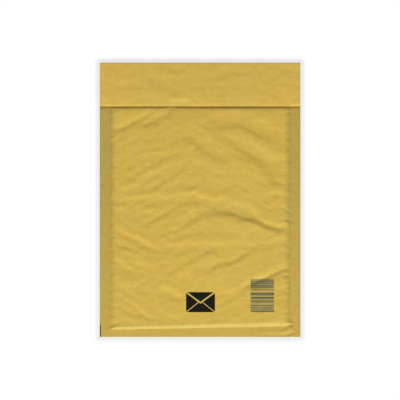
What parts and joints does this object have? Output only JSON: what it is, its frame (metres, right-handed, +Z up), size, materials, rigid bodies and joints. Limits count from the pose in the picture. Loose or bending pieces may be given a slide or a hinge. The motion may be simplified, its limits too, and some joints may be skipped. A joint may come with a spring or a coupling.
{
  "type": "padded envelope",
  "caption": "Flat mailing envelope of brown kraft paper padded with bubble film, with pressed side seams and a flap folded down over the mouth.",
  "frame": {"origin": "centre of the outline, on the surface that the envelope lies on", "axes": "+X across the envelope, +Y along it towards the fold of the flap, +Z up out of the flap side"},
  "size_m": [0.2, 0.2734, 0.0054],
  "materials": {
    "kraft_paper": "matte",
    "bubble_film": "translucent",
    "adhesive": "tacky",
    "release_paper": "satin"
  },
  "bodies": {
    "root": {"kraft_sleeve": "kraft_paper", "bubble_lining": "bubble_film", "adhesive_band": "adhesive", "release_strip": "release_paper"}
  },
  "joints": []
}
